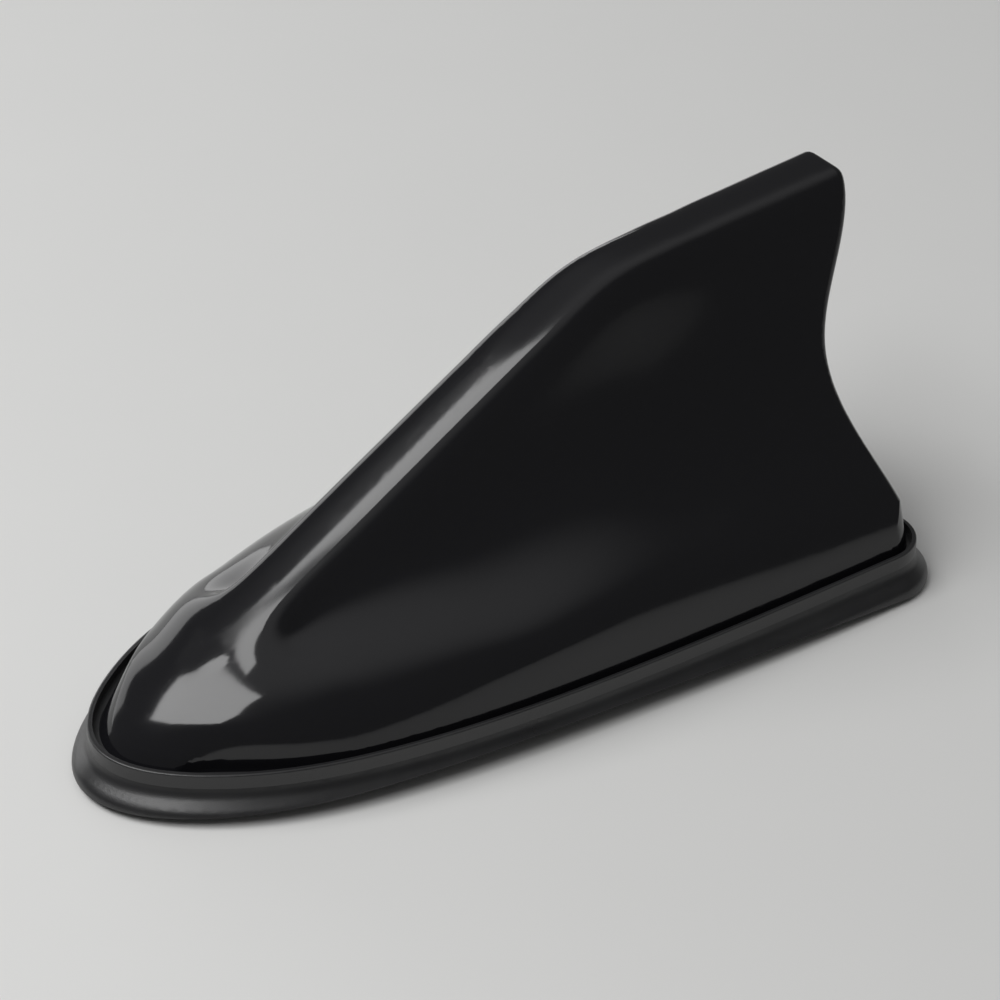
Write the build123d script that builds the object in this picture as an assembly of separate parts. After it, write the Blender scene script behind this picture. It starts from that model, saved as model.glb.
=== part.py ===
from build123d import *
import math
import os

os.makedirs("parts", exist_ok=True)

# Frame: millimetres, nose towards -X, up is +Z, the roof lies below Z = 0.
# The origin is under the middle of the gasket.

# Gasket plan, half-widths measured in from the widest place
gasket_length = 160.0
gasket_width = 76.0
cheek_back = 14.0
cheek_in = 18.0
shoulder_back = 44.0
shoulder_in = 6.2
flank_back = 90.0
flank_in = 1.0
tail_corner = 11.0
least_corner = 3.0
nose_extra = 0.3
cheek_share = 0.6
shoulder_share = 0.15

# Underside, arched lengthwise to sit on a roof
arch_rise = 3.4
arch_apex = -8.0
pad_thick = 1.6

# Gasket section
skirt_under = 0.6
skirt_edge_z = 0.8
skirt_round = 0.15
skirt_round_z = 2.1
skirt_cove = 1.25
skirt_cove_z = 3.5
skirt_neck = 2.3
skirt_neck_z = 4.9
skirt_top = 2.7
skirt_top_z = 6.3
lip_inset = 2.3
lip_thick = 0.8
lip_top_z = 8.8
lip_round = 0.35
flange_wide = 5.7
base_gap = 0.3

# Fin cover
cover_inset = 4.0
wall = 2.2
rim_z = 7.2
band_z = 11.8
band_lean = 0.8
band_nose = 2.4
band_round = 2.2
tail_round = 1.7
spine_start_z = 10.5
spine_slope = 29.9
ridge_z = 71.0
ridge_slope = 3.2
knee_soft = 3.0
nose_drop = 4.4
nose_taper = 0.42
nose_dip = 1.0
nose_dip_long = 14.0
tip_back = 1.5
tip_z = 66.0
waist_back = 12.2
waist_z = 43.5
heel_back = 5.2
heel_lean = 0.22
stations = 27

# Fin section, with the places measured back from the cover's nose
bluff_back = 11.4
nose_half = 3.6
nose_half_back = 4.0
slope_half = 6.6
slope_back = 30.0
knee_back = 85.0
ridge_half = 5.8
ridge_back = 110.0
spine_flat = 0.35
edge_reach = 6.0
dome_back = 20.0
dome_root = 0.4
dome_full = 0.7
nose_bulge = 2.4
nose_bulge_back = 24.0
hollow_back = 32.0
scoop_sag = 5.0
scoop_sag_back = 34.0
blade_sag = 8.0
blade_back = 75.0
knee_sag = 8.0
knee_sag_back = 105.0
tail_sag = 4.0
tail_back = 150.0
nose_swell = 5.5
nose_swell_back = 22.0
scoop_swell = 3.4
scoop_swell_back = 38.0
body_bulge = 4.0
tail_bulge = 0.5
turn_nose_z = 25.5
turn_nose_back = 27.0
turn_mid_z = 28.0
turn_mid_back = 60.0
turn_tail_z = 33.0
turn_tail_back = 95.0
least_turn = 0.25
most_turn = 0.62
body_below_turn = 0.22
most_full = 0.85
most_sag = 0.3
most_swell = 0.18
foot_share = 0.91
skirt_run = 6.0
skirt_lean = 0.25

# Base plate
rim_gap = 0.3
base_top = 8.4
upstand_thick = 1.6
upstand_high = 2.2
rib_thick = 1.4
rib_high = 1.8
rib_y = 10.5
rib_front_in = 42.0
rib_back_in = 18.0

# Screws that hold the cover
nose_screw_back = 26.0
mid_screw_ahead = 12.0
mid_screw_in = 20.0
tail_screw_ahead = 20.0
tail_screw_in = 18.0
cover_screw_r = 1.45
cover_screw_long = 8.0
cover_head_r = 2.8
cover_head_high = 1.9
clamp_thick = 1.8
boss_r = 3.5
screw_gap = 0.06
head_gap = 0.3
pilot_extra = 0.6

# Cable hole with its grommet
cable_r = 3.2
grommet_r = 5.4
grommet_flange_r = 7.4
grommet_lower = 1.3
grommet_upper = 1.5
grommet_seat = 0.15
hole_gap = 0.1

# Circuit board
board_long = 52.0
board_behind = 16.0
board_half = 15.0
board_thick = 1.6
board_corner = 2.0
pillar_high = 4.0
pillar_r = 2.6
pillar_in = 4.5
front_pillar_y = 11.0
board_screw_r = 1.0
board_head_r = 1.9
board_head_high = 1.3
board_screw_long = 5.0

# Coil former, coil, plate and clip
mast_ahead = 32.0
foot_half_x = 14.0
foot_half_y = 5.5
foot_thick = 2.5
foot_screw_x = 10.0
core_r = 4.5
coil_low = 5.0
coil_pitch = 5.2
coil_turns = 5.0
strip_thick = 0.5
strip_wide = 1.3
strip_gap = 0.05
cap_r = 6.2
cap_thick = 1.5
post_r = 2.4
plate_drop = 13.2
stake_r = 1.0
stake_high = 0.9
plate_thick = 0.5
plate_ahead = 20.0
plate_behind = 19.0
plate_half = 3.0
plate_skirt = 6.5
plate_splay = 15.0
clip_thick = 0.4
clip_wide = 3.0
clip_foot = 4.0

# Parts on the board
can_in = 7.5
can_long = 12.5
can_half = 9.5
can_high = 4.2
can_thick = 0.4
chip_side = 5.0
chip_high = 1.2
drum_r = 2.2
drum_high = 3.2
drum_neck = 1.4
drum_flange = 0.7
drum_y = 12.0
drum_in = 24.0
drum_step = 6.0
cap_can_r = 2.5
cap_can_high = 6.0
cap_base_high = 0.8
cap_y = 11.5
cap_in = 28.0
cap_step = 8.0
small_long = 2.0
small_wide = 1.25
small_high = 0.6
small_step = 3.0
transistor_long = 2.9
transistor_wide = 1.6
transistor_high = 1.1

nose_x = -gasket_length / 2
tail_x = gasket_length / 2
half_width = gasket_width / 2
cover_nose_x = nose_x + (1 + nose_extra) * cover_inset
arch_far = tail_x - arch_apex
arch_r = (arch_far**2 + arch_rise**2) / (2 * arch_rise)
lip_inner = lip_inset + lip_thick
base_inset = cover_inset + wall + rim_gap
gasket_step = base_inset - base_gap
opening_inset = gasket_step + flange_wide
nose_screw_x = nose_x + nose_screw_back
tail_screw_x = tail_x - tail_screw_ahead
mid_screw_y = half_width - mid_screw_in
tail_screw_y = half_width - tail_screw_in
board_back = tail_x - board_behind
board_front = board_back - board_long
front_pillar_x = board_front + pillar_in
mast_x = tail_x - mast_ahead
can_front = board_front + can_in
can_back = can_front + can_long
chip_x = (can_front + can_back) / 2
board_z = base_top + pillar_high
board_top = board_z + board_thick
sky = ridge_z + 20.0
START = (Align.CENTER, Align.CENTER, Align.MIN)


def post(radius, low, high, x=0.0, y=0.0):
    return Pos(x, y, low) * Cylinder(radius, high - low, align=START)


def block(x0, x1, y0, y1, z0, z1):
    corner = (Align.MIN, Align.MIN, Align.MIN)
    return Pos(x0, y0, z0) * Box(x1 - x0, y1 - y0, z1 - z0, align=corner)


def side_line(inset, front):
    """One side of the plan, nose tip to tail corner, moved in by inset and by front more at the nose."""
    turn = max(tail_corner - inset, least_corner)
    outer = [
        Vector(nose_x, 0),
        Vector(nose_x + cheek_back, half_width - cheek_in),
        Vector(nose_x + shoulder_back, half_width - shoulder_in),
        Vector(nose_x + flank_back, half_width - flank_in),
        Vector(tail_x - tail_corner, half_width),
    ]
    moved = [Vector(nose_x + inset + front, 0)]
    for before, here, after, share in zip(outer, outer[1:], outer[2:], (cheek_share, shoulder_share, 0.0)):
        run = after - before
        moved.append(here + Vector(run.Y, -run.X).normalized() * (inset + share * front))
    moved.append(Vector(tail_x - inset - turn, half_width - inset))
    return Spline(*moved, tangents=((0, 1), (1, 0)), tangent_scalars=(1, 1))


def plan(inset, z, front=None):
    """The plan outline as a face, moved in by inset."""
    turn = max(tail_corner - inset, least_corner)
    side = side_line(inset, nose_extra * inset if front is None else front)
    corner = RadiusArc(side @ 1, (tail_x - inset, half_width - inset - turn), turn)
    near = Curve() + [side, corner]
    back = Line(corner @ 1, Vector((corner @ 1).X, -(corner @ 1).Y))
    return Pos(0, 0, z) * make_face(near + back + mirror(near, Plane.XZ))


def slab(inset, low, high):
    return extrude(plan(inset, low), high - low)


def roof(lift):
    """Everything below the arched underside, raised by lift."""
    reach = gasket_length
    radius = arch_r + lift
    middle = arch_rise - arch_r
    end_z = middle + math.sqrt(radius**2 - reach**2)
    deep = end_z - 10.0
    top = ThreePointArc((-reach, end_z), (0, middle + radius), (reach, end_z))
    rest = Polyline((reach, end_z), (reach, deep), (-reach, deep), (-reach, end_z))
    face = make_face(Curve() + [top, rest])
    return Pos(arch_apex, gasket_width, 0) * extrude(Plane.XZ * face, 2 * gasket_width)


def ease(x, *steps):
    """Value at x from (x, value) steps, eased between them."""
    if x <= steps[0][0]:
        return steps[0][1]
    for (x0, v0), (x1, v1) in zip(steps, steps[1:]):
        if x <= x1:
            share = (x - x0) / (x1 - x0)
            return v0 + (v1 - v0) * share * share * (3 - 2 * share)
    return steps[-1][1]


def spine_z(x):
    """Height of the spine: a slope that turns softly into the ridge."""
    slope = spine_start_z + math.tan(math.radians(spine_slope)) * (x - cover_nose_x)
    slope -= nose_dip * ease(x - cover_nose_x, (0, 1.0), (nose_dip_long, 0.0))
    ridge = ridge_z - math.tan(math.radians(ridge_slope)) * (tail_x - tip_back - x)
    return 0.5 * (slope + ridge - math.sqrt((slope - ridge) ** 2 + knee_soft**2))


def rim_half(x, side):
    """Half-width of the rim outline at x."""
    low, high = 0.0, 1.0
    for _ in range(40):
        middle = (low + high) / 2
        if (side @ middle).X < x:
            low = middle
        else:
            high = middle
    return (side @ low).Y


def through(points, place, target, share):
    """Control points whose curve passes the target at share, by moving the point at place."""
    last = len(points) - 1
    weights = [math.comb(last, i) * share**i * (1 - share) ** (last - i) for i in range(last + 1)]
    rest = Vector(0, 0, 0)
    for i, point in enumerate(points):
        if i != place:
            rest += point * weights[i]
    moved = (target - rest) * (1 / weights[place])
    return [*points[:place], moved, *points[place + 1:]]


def raised(points, times):
    """Control points of the same curve, that many degrees higher."""
    for _ in range(times):
        count = len(points)
        inner = [points[i - 1] * (i / count) + points[i] * (1 - i / count) for i in range(1, count)]
        points = [points[0], *inner, points[-1]]
    return points


def fin_section(x, side, thick):
    """Cross-section of the fin at x, moved in by thick: a domed nose, then a blade on a full body."""
    back = x - cover_nose_x
    top_z = spine_z(x) - 1.15 * thick
    nose_spine = (nose_half_back, nose_half)
    half = ease(back, nose_spine, (slope_back, slope_half), (knee_back, slope_half), (ridge_back, ridge_half))
    half -= thick
    bluff = cover_nose_x + bluff_back
    foot_y = rim_half(max(x, bluff), side) - nose_taper * max(bluff - x, 0.0)
    foot_y = max(foot_y, half + thick + 0.5)
    foot_z = min(band_z, spine_z(x) - nose_drop)
    foot = Vector(0, foot_y - 1.1 * thick, foot_z - 0.6 * thick)
    edge = Vector(0, half, top_z)
    start = Vector(0, spine_flat * half, top_z)
    flat_end = start + (edge - start) * 0.7
    skirt = foot + Vector(0, skirt_lean, -1).normalized() * skirt_run
    run = foot - edge
    inward = Vector(0, run.Z, -run.Y).normalized()
    lip = min(edge_reach, 0.25 * run.length)
    sag = ease(
        back,
        (nose_bulge_back, -nose_bulge),
        (scoop_sag_back, scoop_sag),
        (blade_back, blade_sag),
        (knee_sag_back, knee_sag),
        (tail_back, tail_sag),
    )
    sag = min(max(sag, -most_swell * run.length), most_sag * run.length)
    swell = ease(
        back,
        (nose_swell_back, nose_swell),
        (scoop_swell_back, scoop_swell),
        (blade_back, body_bulge),
        (tail_back, tail_bulge),
    )
    swell = min(swell, most_swell * run.length)

    # Dome of the nose
    root = edge + run * dome_root + inward * sag
    body = edge + run * dome_full - inward * swell
    blade = (root - edge).normalized() * lip
    dome = [start, flat_end, edge, edge + blade * 0.4, edge + blade, root, body, foot, skirt]
    dome = raised(through(dome, dome.index(foot), foot, foot_share), 4)

    # Hollow blade that turns into the full body
    turn_nose = (turn_nose_back, turn_nose_z)
    turn_z = ease(back, turn_nose, (turn_mid_back, turn_mid_z), (turn_tail_back, turn_tail_z))
    turn = (spine_z(x) - turn_z) / max(spine_z(x) - foot_z, 1.0)
    turn = min(max(turn, least_turn), most_turn)
    root = edge + run * turn + inward * sag
    body = edge + run * min(turn + body_below_turn, most_full) - inward * swell
    blade = (root - edge).normalized() * lip
    upper = [start, flat_end, edge, edge + blade * 0.4, edge + blade, edge + (root - edge) * 0.7]
    lower = body + (foot - body) * 0.5 - inward * 0.5 * swell
    hollow = [*upper, root, root, body, body, lower, foot, skirt]
    hollow = through(hollow, hollow.index(foot), foot, foot_share)

    crisp = ease(back, (dome_back, 0.0), (hollow_back, 1.0))
    flank = Bezier(*[soft * (1 - crisp) + hard * crisp for soft, hard in zip(dome, hollow)])
    ground = Vector(0, skirt.Y + 1.0, -40.0)
    near = [flank, Line(skirt, ground)]
    far = [line.mirror(Plane.XZ) for line in near]
    across = Line(start, Vector(0, -start.Y, start.Z))
    under = Line(ground, Vector(0, -ground.Y, ground.Z))
    return Pos(x, 0, 0) * Face(Wire([across, *near, under, *far]))


def rear_space(thick):
    """Everything behind the hollow tail line, moved forward by thick."""
    heel = Vector(tail_x - heel_back, band_z)
    foot = heel + Vector(heel_lean, -1) * (band_z - rim_z + 2.0)
    top = Vector(tail_x - tip_back - 0.7, sky)
    line = Spline(
        top,
        (tail_x - tip_back, tip_z),
        (tail_x - waist_back, waist_z),
        heel,
        foot,
        tangents=((0, -1), (heel_lean, -1)),
        tangent_scalars=(1, 1),
    )
    far = tail_x + 30.0
    rest = Polyline(foot, (far, foot.Y), (far, sky), top)
    face = make_face(Curve() + [line, rest])
    return Pos(-thick, gasket_width, 0) * extrude(Plane.XZ * face, 2 * gasket_width)


def band(z, thick):
    """Plan of the leaning band at height z."""
    share = (z - rim_z) / (band_z - rim_z)
    front = nose_extra * cover_inset + band_nose * share
    return plan(cover_inset + band_lean * share + thick, z, front)


def fin_form(thick, low):
    """The fin as a full body, moved in by thick on all sides, from low upwards."""
    side = side_line(cover_inset + band_lean, nose_extra * cover_inset + band_nose)
    first = nose_x - 3.0 + 2.0 * thick
    step = (tail_x + 10.0 - first) / (stations - 1)
    skin = loft([fin_section(first + step * i, side, thick) for i in range(stations)])
    clear_z = band_z + 8.0
    limit = loft([band(low, thick), band(clear_z, thick)], ruled=True)
    limit += block(nose_x, tail_x + 10.0, -half_width, half_width, clear_z, sky)
    return (skin & limit) - rear_space(thick)


def soften(part, pick, radius):
    """Rounds the edges that pick finds, a little less where the full radius can't be made."""
    for share in (1.0, 0.85, 0.7, 0.5):
        try:
            rounded = fillet(pick(part), radius * share)
            if rounded.is_valid:
                return rounded
        except (ValueError, RuntimeError):
            continue
    return part


def tail_edges(part):
    rear = part.faces().filter_by(GeomType.EXTRUSION).sort_by(Axis.X)[-1]
    return [e for e in rear.edges() if e.center().Z > band_z + 1.0]


def band_edges(part):
    found = []
    for face in part.faces():
        box = face.bounding_box()
        if box.min.Z > rim_z + 0.01 or box.size.Z < 0.5:
            continue
        for edge in face.edges():
            size = edge.bounding_box()
            level = size.size.Z < 0.6 * max(size.size.X, size.size.Y)
            if size.min.Z > rim_z + 0.5 and size.max.Z < band_z + 2.0 and level:
                found.append(edge)
    return found


cover_screw_spots = [
    (nose_screw_x, 0.0),
    (-mid_screw_ahead, mid_screw_y),
    (-mid_screw_ahead, -mid_screw_y),
    (tail_screw_x, tail_screw_y),
    (tail_screw_x, -tail_screw_y),
]
front_pillars = [(front_pillar_x, front_pillar_y), (front_pillar_x, -front_pillar_y)]
foot_pillars = [(mast_x - foot_screw_x, 0.0), (mast_x + foot_screw_x, 0.0)]
head_seat = base_top - clamp_thick

# Fin cover
fin = fin_form(0.0, rim_z)
fin_outside = soften(soften(fin, tail_edges, tail_round), band_edges, band_round)
fin_cover = fin_outside - fin_form(wall, rim_z - 1.0)
for x, y in cover_screw_spots:
    fin_cover += post(boss_r, base_top, sky, x, y) & fin_outside
for x, y in cover_screw_spots:
    pilot_top = head_seat + cover_screw_long + pilot_extra
    fin_cover -= post(cover_screw_r + screw_gap, rim_z, pilot_top, x, y)

# Rubber gasket
skirt_rings = [
    (skirt_under, skirt_edge_z - 1.4),
    (0.0, skirt_edge_z),
    (skirt_round, skirt_round_z),
    (skirt_cove, skirt_cove_z),
    (skirt_neck, skirt_neck_z),
    (skirt_top, skirt_top_z),
]
skirt = loft([plan(inset, z) for inset, z in skirt_rings])
lip = slab(lip_inset, skirt_top_z - 0.2, lip_top_z)
lip = soften(lip, lambda p: p.faces().sort_by(Axis.Z)[-1].edges(), lip_round)
gasket = skirt + lip
gasket -= slab(lip_inner, rim_z, lip_top_z + 1.0)
gasket -= slab(gasket_step, -5.0, lip_top_z) - roof(pad_thick)
gasket -= slab(opening_inset, -5.0, lip_top_z)
gasket -= roof(0.0)

# Base plate
inside = fin_form(wall + rim_gap, rim_z - rim_gap)
base = slab(base_inset, -2.0, rim_z - rim_gap) - roof(pad_thick)
base += slab(base_inset, rim_z - rim_gap, base_top + upstand_high) & inside
base -= slab(base_inset + upstand_thick, base_top, base_top + upstand_high)
rib_front = nose_x + rib_front_in
rib_back = tail_x - rib_back_in
rib = block(rib_front, rib_back, -rib_thick / 2, rib_thick / 2, base_top, base_top + rib_high)
for y in (rib_y, -rib_y):
    base += Pos(0, y, 0) * rib
for x, y in front_pillars + foot_pillars:
    base += post(pillar_r, base_top, board_z, x, y)
for x, y in front_pillars + foot_pillars:
    base -= post(board_screw_r + screw_gap, base_top - 1.0, board_z, x, y)
for x, y in cover_screw_spots:
    base -= post(boss_r + head_gap, base_top, base_top + rib_high, x, y)
    base -= post(cover_screw_r + head_gap, 0.0, base_top, x, y)
    base -= post(cover_head_r + head_gap, 0.0, head_seat, x, y)
base -= post(grommet_r + hole_gap, 0.0, base_top)
seat_z = arch_rise + pad_thick + grommet_seat
base -= post(grommet_flange_r + hole_gap, 0.0, seat_z)


def cross_slot(radius, depth):
    """Cross recess of a screw head, from its face upwards."""
    arm = block(-radius, radius, -radius / 4, radius / 4, 0.0, depth)
    return arm + Rot(0, 0, 90) * arm


def screw(shank_r, shank_long, head_r, head_high):
    """Pan-head screw that points up, with its head's bearing face at Z = 0."""
    head = post(head_r, -head_high, 0.0)
    head = fillet(head.edges().sort_by(Axis.Z)[0], head_high * 0.45)
    shank = post(shank_r, 0.0, shank_long)
    shank = chamfer(shank.edges().sort_by(Axis.Z)[-1], shank_r * 0.5)
    return head + shank - Pos(0, 0, -head_high) * cross_slot(head_r * 0.55, head_high * 0.6)


cover_screw = screw(cover_screw_r, cover_screw_long, cover_head_r, cover_head_high)
cover_screws = Compound(children=[Pos(x, y, head_seat) * cover_screw for x, y in cover_screw_spots])

# Grommet and adhesive pad
grommet = post(grommet_flange_r, seat_z - grommet_lower, seat_z)
grommet += post(grommet_r, seat_z, base_top)
grommet += post(grommet_flange_r, base_top, base_top + grommet_upper)
grommet -= post(cable_r, seat_z - grommet_lower, base_top + grommet_upper)
pad = (slab(opening_inset + base_gap, -2.0, base_top) & roof(pad_thick)) - roof(0.0)
pad -= post(grommet_flange_r + 0.8, -2.0, base_top)
for x, y in cover_screw_spots:
    pad -= post(cover_head_r + head_gap, -2.0, base_top, x, y)

# Circuit board and the screws that hold it
board = block(board_front, board_back, -board_half, board_half, board_z, board_top)
board = fillet(board.edges().filter_by(Axis.Z), board_corner)
for x, y in front_pillars + foot_pillars:
    board -= post(board_screw_r + head_gap, board_z, board_top, x, y)
board_screw = Rot(180, 0, 0) * screw(board_screw_r, board_screw_long, board_head_r, board_head_high)
board_screws = Compound(children=[Pos(x, y, board_top) * board_screw for x, y in front_pillars])

# Coil former on the board
foot_top = board_top + foot_thick
coil_z = foot_top + coil_low
cap_z = coil_z + coil_pitch * coil_turns + 2.0
post_top = ridge_z - plate_drop
former = block(mast_x - foot_half_x, mast_x + foot_half_x, -foot_half_y, foot_half_y, board_top, foot_top)
former = fillet(former.edges().filter_by(Axis.Z), foot_half_y * 0.6)
former += post(core_r, foot_top, cap_z, mast_x)
former += post(cap_r, cap_z, cap_z + cap_thick, mast_x)
former += post(post_r, cap_z + cap_thick, post_top, mast_x)
former += post(stake_r, post_top, post_top + plate_thick + stake_high, mast_x)
for x, y in foot_pillars:
    former -= post(board_screw_r + head_gap, board_top, foot_top, x, y)
former_screw = Rot(180, 0, 0) * screw(
    board_screw_r, board_screw_long + foot_thick, board_head_r, board_head_high
)
former_screws = Compound(children=[Pos(x, y, foot_top) * former_screw for x, y in foot_pillars])

# Helical strip on the former
strip_r = core_r + strip_gap + strip_thick / 2
path = Helix(coil_pitch, coil_pitch * coil_turns, strip_r)
strip = Plane(path @ 0, x_dir=(1, 0, 0), z_dir=path % 0) * Rectangle(strip_thick, strip_wide)
coil = Pos(mast_x, 0, coil_z) * Rot(0, 0, -90) * sweep(strip, path, is_frenet=True)

# Folded plate on top of the former
plate_bottom = post_top
splay = math.tan(math.radians(plate_splay)) * plate_skirt
inner = [
    (-plate_half - splay, plate_bottom - plate_skirt),
    (-plate_half, plate_bottom),
    (plate_half, plate_bottom),
    (plate_half + splay, plate_bottom - plate_skirt),
]
outer = [
    (plate_half + splay + plate_thick, plate_bottom - plate_skirt),
    (plate_half + plate_thick, plate_bottom + plate_thick),
    (-plate_half - plate_thick, plate_bottom + plate_thick),
    (-plate_half - splay - plate_thick, plate_bottom - plate_skirt),
]
fold = make_face(Polyline(*inner, *outer, close=True))
plate = Pos(mast_x - plate_ahead, 0, 0) * extrude(Plane.YZ * fold, plate_ahead + plate_behind)
plate -= post(stake_r + hole_gap, plate_bottom - 1.0, plate_bottom + 2.0, mast_x)

# Contact from the coil's foot to the board
clip_left = mast_x - clip_wide / 2
clip_right = mast_x + clip_wide / 2
clip_y = -foot_half_y - base_gap
clip_out = clip_y - clip_thick
clip = block(clip_left, clip_right, clip_out - clip_foot, clip_y, board_top, board_top + clip_thick)
clip += block(clip_left, clip_right, clip_out, clip_y, board_top, coil_z + strip_wide / 2)
finger_y = -(strip_r + strip_thick / 2 + strip_gap)
clip += block(clip_left, clip_right, clip_y, finger_y, coil_z - clip_thick / 2, coil_z + clip_thick / 2)

# Parts on the board
can = block(can_front, can_back, -can_half, can_half, board_top, board_top + can_high)
can -= block(
    can_front + can_thick, can_back - can_thick, -can_half + can_thick, can_half - can_thick,
    board_top, board_top + can_high - can_thick,
)
chip = block(
    chip_x - chip_side / 2, chip_x + chip_side / 2, -chip_side / 2, chip_side / 2,
    board_top, board_top + chip_high,
)


def drum(x, y):
    """Wound drum: two flanges with a winding between them."""
    high = board_top + drum_high
    body = post(drum_r, board_top, board_top + drum_flange, x, y)
    body += post(drum_r, high - drum_flange, high, x, y)
    return body + post(drum_neck, board_top, high, x, y)


def can_capacitor(x, y):
    """Electrolytic can on its square foot, with the groove near the foot."""
    foot_side = cap_can_r + 0.1
    low = board_top + cap_base_high
    body = block(x - foot_side, x + foot_side, y - foot_side, y + foot_side, board_top, low)
    body += post(cap_can_r, low, board_top + cap_can_high, x, y)
    ring = post(cap_can_r, low + 0.8, low + 1.4, x, y) - post(cap_can_r - 0.3, low + 0.8, low + 1.4, x, y)
    return body - ring


def small_part(x, y, long, wide, high):
    return block(x - long / 2, x + long / 2, y - wide / 2, y + wide / 2, board_top, board_top + high)


inductors = Compound(children=[drum(board_front + drum_in + drum_step * i, -drum_y) for i in range(2)])
capacitors = Compound(children=[can_capacitor(board_front + cap_in + cap_step * i, cap_y) for i in range(2)])
row_y = (chip_side + small_wide) / 2 + 1.2
row_x = [chip_x + small_step * i for i in (-1, 0, 1)]
chip_capacitors = Compound(
    children=[small_part(x, row_y, small_long, small_wide, small_high) for x in row_x]
)
chip_resistors = Compound(
    children=[small_part(x, -row_y, small_long, small_wide, small_high) for x in row_x]
)
transistor_y = row_y + small_wide + transistor_wide / 2 + 0.4
transistors = Compound(
    children=[
        small_part(chip_x, y, transistor_long, transistor_wide, transistor_high)
        for y in (transistor_y, -transistor_y)
    ]
)

pieces = {
    "fin_cover": fin_cover,
    "rubber_gasket": gasket,
    "base_plate": base,
    "cover_screws": cover_screws,
    "cable_grommet": grommet,
    "adhesive_pad": pad,
    "circuit_board": board,
    "board_screws": board_screws,
    "coil_former": former,
    "former_screws": former_screws,
    "antenna_coil": coil,
    "top_load_plate": plate,
    "feed_clip": clip,
    "shield_can": can,
    "amplifier_chip": chip,
    "filter_inductors": inductors,
    "electrolytic_capacitors": capacitors,
    "chip_capacitors": chip_capacitors,
    "chip_resistors": chip_resistors,
    "transistors": transistors,
}
for name, piece in pieces.items():
    export_step(piece, f"parts/{name}.step")
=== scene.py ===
"""Looks of the shark fin aerial: materials, an evened cover, floor, light and camera, in metres."""

import math

import bmesh
import bpy
import numpy as np
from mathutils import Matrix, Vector
from mathutils.kdtree import KDTree


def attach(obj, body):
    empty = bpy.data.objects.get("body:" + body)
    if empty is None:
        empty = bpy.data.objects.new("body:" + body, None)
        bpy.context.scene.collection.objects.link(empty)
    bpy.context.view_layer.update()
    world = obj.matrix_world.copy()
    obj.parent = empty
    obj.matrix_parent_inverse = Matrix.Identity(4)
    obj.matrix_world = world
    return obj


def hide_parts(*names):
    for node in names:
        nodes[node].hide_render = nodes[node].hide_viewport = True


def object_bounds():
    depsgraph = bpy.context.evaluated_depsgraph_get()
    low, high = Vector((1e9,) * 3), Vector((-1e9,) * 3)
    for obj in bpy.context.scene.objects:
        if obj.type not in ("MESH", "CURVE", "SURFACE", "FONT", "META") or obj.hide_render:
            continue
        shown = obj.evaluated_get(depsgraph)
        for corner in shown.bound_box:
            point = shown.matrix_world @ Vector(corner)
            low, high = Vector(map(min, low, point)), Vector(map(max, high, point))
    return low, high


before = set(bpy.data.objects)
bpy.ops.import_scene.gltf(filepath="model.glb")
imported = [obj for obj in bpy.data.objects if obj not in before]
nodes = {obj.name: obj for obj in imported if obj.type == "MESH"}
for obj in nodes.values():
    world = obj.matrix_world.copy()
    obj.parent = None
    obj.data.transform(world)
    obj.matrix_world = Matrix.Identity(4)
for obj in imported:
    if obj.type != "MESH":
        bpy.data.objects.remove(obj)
cad_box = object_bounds()

# Camera, as fitted to the photograph
camera_turn = math.radians(35.97)
camera_height = math.radians(33.76)
camera_away = 0.860
camera_lens = 178.2
sensor_width = 36.0
camera_centre = Vector((0, 0, 0.030))
aim = Vector((0.0043, -0.0035, 0.0294))

# Evening of the cover's shading. Edges longer than gloss_edge are split, and normals are averaged
# over gloss_reach. Below lip_top, and where the surface turns faster than turn_kept, they stay.
gloss_edge = 0.0022
split_rounds = 3
gloss_reach = 0.005
edge_reach = 0.002
turn_kept = 0.84
turn_fade = 0.08
lip_top = 0.0095
tail_facing = 0.3

# Between these places the evening goes over from all round, on the nose, to along the spine
dome_start = -0.054
dome_end = -0.040
spine_way = np.array((0.82, 0.0, 0.572))
across_share = 4.0

# Below this height it goes over to along the band at the rim
band_top = 0.0175
band_fade = 0.004

# Studio
floor_half = 3.0
floor_drop = 0.0002
floor_pale = (0.76, 0.76, 0.75)
floor_dark = (0.7448, 0.7448, 0.735)
nose_place = Vector((-0.70, 0.20, 1.0))
nose_size = (0.38, 1.45)
nose_watts = 10.0
spine_place = Vector((-0.353, 0.45, 1.0))
spine_size = (0.166, 0.90)
spine_watts = 2.55
rim_place = Vector((0.05, 1.25, 0.27))
rim_size = (1.3, 0.5)
rim_watts = 3.2
room_low = 0.55
room_dim = 0.11
room_bright = 0.50


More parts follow.
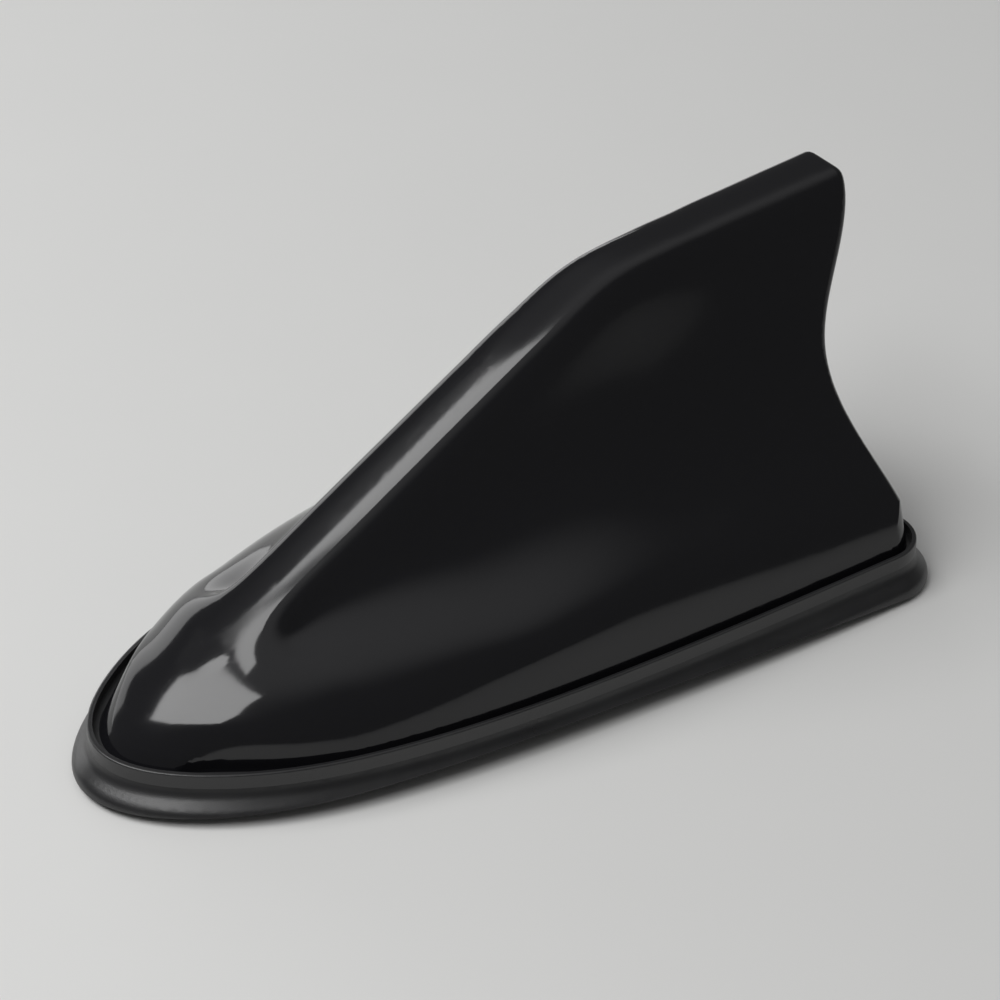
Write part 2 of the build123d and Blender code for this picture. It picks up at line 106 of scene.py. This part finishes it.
class Shader:
    """A material's node tree with short calls for what the materials here share."""

    def __init__(self, name):
        self.material = bpy.data.materials.new(name)
        self.material.use_nodes = True
        self.tree = self.material.node_tree
        self.shader = self.tree.nodes["Principled BSDF"]
        self.place = self.add("ShaderNodeTexCoord").outputs["Object"]

    def add(self, kind, **values):
        node = self.tree.nodes.new(kind)
        for key, value in values.items():
            setattr(node, key, value)
        return node

    def link(self, source, target):
        self.tree.links.new(source, target)

    def noise(self, scale, detail=4.0, stretch=(1.0, 1.0, 1.0)):
        """Noise over the object's own coordinates, with scale in patches a metre."""
        mapping = self.add("ShaderNodeMapping")
        mapping.inputs["Scale"].default_value = stretch
        self.link(self.place, mapping.inputs["Vector"])
        texture = self.add("ShaderNodeTexNoise")
        texture.inputs["Scale"].default_value = scale
        texture.inputs["Detail"].default_value = detail
        self.link(mapping.outputs["Vector"], texture.inputs["Vector"])
        return texture.outputs["Fac"]

    def spread(self, value, low, high, start=0.3, end=0.7):
        """Maps a 0 to 1 value between start and end to low and high."""
        node = self.add("ShaderNodeMapRange")
        node.inputs["From Min"].default_value = start
        node.inputs["From Max"].default_value = end
        node.inputs["To Min"].default_value = low
        node.inputs["To Max"].default_value = high
        self.link(value, node.inputs["Value"])
        return node.outputs["Result"]

    def sum(self, first, second):
        node = self.add("ShaderNodeMath", operation="ADD")
        self.link(first, node.inputs[0])
        self.link(second, node.inputs[1])
        return node.outputs["Value"]

    def colours(self, value, low, high):
        node = self.add("ShaderNodeMix", data_type="RGBA")
        node.inputs["A"].default_value = (*low, 1.0)
        node.inputs["B"].default_value = (*high, 1.0)
        self.link(value, node.inputs["Factor"])
        return node.outputs["Result"]

    def edges(self, width):
        """1 along edges rounded within width, 0 on open faces."""
        bevel = self.add("ShaderNodeBevel", samples=6)
        bevel.inputs["Radius"].default_value = width
        geometry = self.add("ShaderNodeNewGeometry")
        dot = self.add("ShaderNodeVectorMath", operation="DOT_PRODUCT")
        self.link(bevel.outputs["Normal"], dot.inputs[0])
        self.link(geometry.outputs["Normal"], dot.inputs[1])
        return self.spread(dot.outputs["Value"], 1.0, 0.0, 0.80, 0.99)

    def bump(self, height, strength, distance):
        node = self.add("ShaderNodeBump")
        node.inputs["Strength"].default_value = strength
        node.inputs["Distance"].default_value = distance
        self.link(height, node.inputs["Height"])
        self.link(node.outputs["Normal"], self.shader.inputs["Normal"])

    def set(self, **values):
        for key, value in values.items():
            self.shader.inputs[key.replace("_", " ")].default_value = value


def gloss_black():
    """Polished black cover with faint haze, hairlines and dust."""
    s = Shader("cover_plastic")
    haze = s.spread(s.noise(28.0), 0.075, 0.11)
    hairlines = s.spread(s.noise(900.0, 2.0, (0.06, 1.0, 1.0)), 0.0, 0.03, 0.62, 0.75)
    s.link(s.sum(haze, hairlines), s.shader.inputs["Roughness"])
    black = s.colours(s.noise(1800.0, 1.0), (0.0075, 0.0075, 0.009), (0.0095, 0.0095, 0.011))
    s.link(black, s.shader.inputs["Base Color"])
    s.bump(s.noise(70.0, 1.0), 0.012, 0.0004)
    s.set(IOR=1.49)
    return s.material


def satin_rubber():
    """Moulded gasket rubber: fine grain, paler along its edges."""
    s = Shader("gasket_rubber")
    grain = s.noise(5200.0, 3.0)
    clouds = s.noise(55.0)
    worn = s.edges(0.0006)
    pale = s.sum(s.spread(clouds, 0.0, 0.5), s.spread(worn, 0.0, 0.5, 0.0, 1.0))
    black = s.colours(pale, (0.011, 0.011, 0.012), (0.022, 0.022, 0.023))
    s.link(black, s.shader.inputs["Base Color"])
    rough = s.sum(s.spread(clouds, 0.30, 0.38), s.spread(grain, -0.04, 0.04))
    s.link(rough, s.shader.inputs["Roughness"])
    s.bump(grain, 0.18, 0.0001)
    s.set(IOR=1.6)
    return s.material


def moulded(name, dark, pale, roughness, grain_scale=2600.0, metallic=0.0, grain_deep=0.00006):
    """Moulded, plated or ground part: cloudy colour, fine grain and worn edges."""
    s = Shader(name)
    clouds = s.noise(160.0)
    grain = s.noise(grain_scale, 3.0)
    worn = s.edges(0.0003)
    paler = s.sum(s.spread(clouds, 0.0, 0.6), s.spread(worn, 0.0, 0.4, 0.0, 1.0))
    s.link(s.colours(paler, dark, pale), s.shader.inputs["Base Color"])
    cloudy = s.spread(clouds, roughness - 0.06, roughness + 0.06)
    s.link(s.sum(cloudy, s.spread(grain, -0.04, 0.04)), s.shader.inputs["Roughness"])
    s.bump(grain, 0.2, grain_deep)
    s.set(Metallic=metallic)
    return s.material


def brushed(name, dark, pale, roughness, stretch):
    """Drawn metal with lines along one direction."""
    s = Shader(name)
    lines = s.noise(1500.0, 4.0, stretch)
    s.link(s.colours(lines, dark, pale), s.shader.inputs["Base Color"])
    s.link(s.spread(lines, roughness - 0.08, roughness + 0.08), s.shader.inputs["Roughness"])
    s.bump(lines, 0.1, 0.00005)
    s.set(Metallic=1.0)
    return s.material


cover = gloss_black()
rubber = satin_rubber()
base_plastic = moulded("base_plastic", (0.018, 0.018, 0.019), (0.032, 0.032, 0.033), 0.55)
grommet_rubber = moulded("grommet_rubber", (0.02, 0.02, 0.02), (0.034, 0.034, 0.034), 0.62)
foam = moulded("pad_foam", (0.04, 0.04, 0.043), (0.075, 0.075, 0.08), 0.85, 1400.0, 0.0, 0.0002)
laminate = moulded("board_laminate", (0.010, 0.10, 0.035), (0.018, 0.16, 0.06), 0.35)
former_plastic = moulded("former_plastic", (0.62, 0.60, 0.55), (0.74, 0.73, 0.69), 0.5)
epoxy = moulded("chip_plastic", (0.018, 0.018, 0.02), (0.035, 0.035, 0.037), 0.5)
ferrite = moulded("drum_ferrite", (0.05, 0.05, 0.052), (0.09, 0.09, 0.092), 0.6)
ceramic = moulded("chip_ceramic", (0.38, 0.26, 0.16), (0.52, 0.38, 0.25), 0.45)
zinc = moulded("screw_steel", (0.5, 0.5, 0.48), (0.68, 0.68, 0.66), 0.32, 1800.0, 1.0)
tin = brushed("plate_tin", (0.6, 0.6, 0.59), (0.75, 0.75, 0.74), 0.34, (0.05, 1.0, 1.0))
copper = brushed("coil_copper", (0.62, 0.33, 0.17), (0.82, 0.5, 0.3), 0.28, (1.0, 1.0, 0.08))
drawn = brushed("can_aluminium", (0.66, 0.66, 0.67), (0.8, 0.8, 0.81), 0.3, (1.0, 1.0, 0.05))

finishes = {
    "fin_cover": cover,
    "rubber_gasket": rubber,
    "base_plate": base_plastic,
    "cover_screws": zinc,
    "cable_grommet": grommet_rubber,
    "adhesive_pad": foam,
    "circuit_board": laminate,
    "board_screws": zinc,
    "coil_former": former_plastic,
    "former_screws": zinc,
    "antenna_coil": copper,
    "top_load_plate": tin,
    "feed_clip": copper,
    "shield_can": tin,
    "amplifier_chip": epoxy,
    "filter_inductors": ferrite,
    "electrolytic_capacitors": drawn,
    "chip_capacitors": ceramic,
    "chip_resistors": epoxy,
    "transistors": epoxy,
}
for name, material in finishes.items():
    for slot in nodes[name].material_slots:
        slot.material = material


def finer(mesh):
    """Splits a mesh's long edges and returns its points, their normals and the area round each."""
    facing = np.zeros((len(mesh.vertices), 3))
    for corner, normal in zip(mesh.loops, mesh.corner_normals):
        facing[corner.vertex_index] += normal.vector
    shape = bmesh.new()
    shape.from_mesh(mesh)
    kept = shape.verts.layers.float_vector.new("facing")
    for vert in shape.verts:
        vert[kept] = Vector(facing[vert.index]).normalized()
    for step in range(split_rounds):
        above = [e for e in shape.edges if e.verts[0].co.z > lip_top]
        long_edges = [e for e in above if e.calc_length() > gloss_edge]
        bmesh.ops.subdivide_edges(shape, edges=long_edges, cuts=1)
        bmesh.ops.triangulate(shape, faces=[f for f in shape.faces if len(f.verts) > 3])
    shape.verts.index_update()
    area = np.zeros(len(shape.verts))
    for face in shape.faces:
        share = face.calc_area() / 3
        for vert in face.verts:
            area[vert.index] += share
    places = np.array([v.co for v in shape.verts])
    normals = np.array([v[kept].normalized() for v in shape.verts])
    shape.to_mesh(mesh)
    shape.free()
    return places, normals, area


def even_gloss(node, name):
    """Copy of a node with its shading evened from section to section of the loft, edges kept."""
    mesh = node.data.copy()
    places, normals, area = finer(mesh)
    tree = KDTree(len(places))
    for index, place in enumerate(places):
        tree.insert(place, index)
    tree.balance()
    above = places[:, 2] - lip_top
    outward = normals[:, 1] * places[:, 1] + normals[:, 2] * above > 0
    outward &= normals[:, 0] < tail_facing
    behind = np.clip((places[:, 0] - dome_start) / (dome_end - dome_start), 0, 1)
    low = np.clip((band_top - places[:, 2]) / band_fade, 0, 1)
    along_fin = np.eye(3) - np.outer(spine_way, spine_way)
    along_band = np.diag((0, 0, 1))
    even = normals.copy()
    for index in np.nonzero(outward & (above > 0))[0]:
        near = np.array([found[1] for found in tree.find_range(places[index], 2 * gloss_reach)])
        near = near[outward[near]]
        apart = places[near] - places[index]
        alike = normals[near] @ normals[index]
        close = area[near] * np.exp(-0.5 * (apart ** 2).sum(axis=1) / edge_reach ** 2)
        strength = np.clip((close @ alike / close.sum() - turn_kept) / turn_fade, low[index], 1)
        narrowed = (1 - low[index]) * behind[index] * along_fin + low[index] * along_band
        away = apart + across_share * apart @ narrowed
        weight = area[near] * np.clip(2 * alike - 1, 0, 1)
        weight *= np.exp(-0.5 * (away ** 2).sum(axis=1) / gloss_reach ** 2)
        mean = weight @ normals[near]
        even[index] += strength * (mean / np.linalg.norm(mean) - normals[index])
    mesh.normals_split_custom_set_from_vertices(even)
    piece = bpy.data.objects.new(name, mesh)
    bpy.context.scene.collection.objects.link(piece)
    return piece


cover_skin = even_gloss(nodes["fin_cover"], "cover_skin")
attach(cover_skin, "root")
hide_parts("fin_cover")

# Floor
bpy.ops.mesh.primitive_plane_add(size=2 * floor_half, location=(0, 0, cad_box[0].z - floor_drop))
floor = bpy.context.object
floor.name = "floor"
paper = Shader("floor_paper")
paper.link(
    paper.colours(paper.noise(30.0), floor_dark, floor_pale),
    paper.shader.inputs["Base Color"],
)
paper.set(Roughness=0.85)
floor.data.materials.append(paper.material)


def softbox(name, place, size, watts, target):
    """Rectangular lamp that faces target."""
    lamp = bpy.data.lights.new(name, "AREA")
    lamp.shape = "RECTANGLE"
    lamp.size, lamp.size_y = size
    lamp.energy = watts
    thing = bpy.data.objects.new(name, lamp)
    thing.location = place
    thing.rotation_euler = (target - place).to_track_quat("-Z", "Y").to_euler()
    bpy.context.scene.collection.objects.link(thing)
    return thing


straight_down = Vector((0, 0, -1))
softbox("nose_softbox", nose_place, nose_size, nose_watts, nose_place + straight_down)
softbox("spine_softbox", spine_place, spine_size, spine_watts, spine_place + straight_down)
softbox("rim_softbox", rim_place, rim_size, rim_watts, Vector((0, 0, 0.03)))

# World: a grey room, dimmer towards the horizon
world = bpy.data.worlds.new("room")
world.use_nodes = True
bpy.context.scene.world = world
room = world.node_tree
background = room.nodes["Background"]
coordinates = room.nodes.new("ShaderNodeTexCoord")
split = room.nodes.new("ShaderNodeSeparateXYZ")
ramp = room.nodes.new("ShaderNodeMapRange")
ramp.interpolation_type = "SMOOTHSTEP"
ramp.inputs["From Min"].default_value = room_low
ramp.inputs["From Max"].default_value = 1.0
ramp.inputs["To Min"].default_value = room_dim
ramp.inputs["To Max"].default_value = room_bright
room.links.new(coordinates.outputs["Generated"], split.inputs["Vector"])
room.links.new(split.outputs["Z"], ramp.inputs["Value"])
room.links.new(ramp.outputs["Result"], background.inputs["Strength"])
background.inputs["Color"].default_value = (1.0, 1.0, 1.0, 1.0)

# Camera
back = Vector((
    -math.sin(camera_turn) * math.cos(camera_height),
    -math.cos(camera_turn) * math.cos(camera_height),
    math.sin(camera_height),
))
camera = bpy.data.objects.new("camera", bpy.data.cameras.new("camera"))
camera.data.lens = camera_lens
camera.data.sensor_width = sensor_width
camera.location = camera_centre + back * camera_away
camera.rotation_euler = (aim - camera.location).to_track_quat("-Z", "Y").to_euler()
bpy.context.scene.collection.objects.link(camera)
bpy.context.scene.camera = camera
bpy.context.scene.view_settings.view_transform = "Standard"
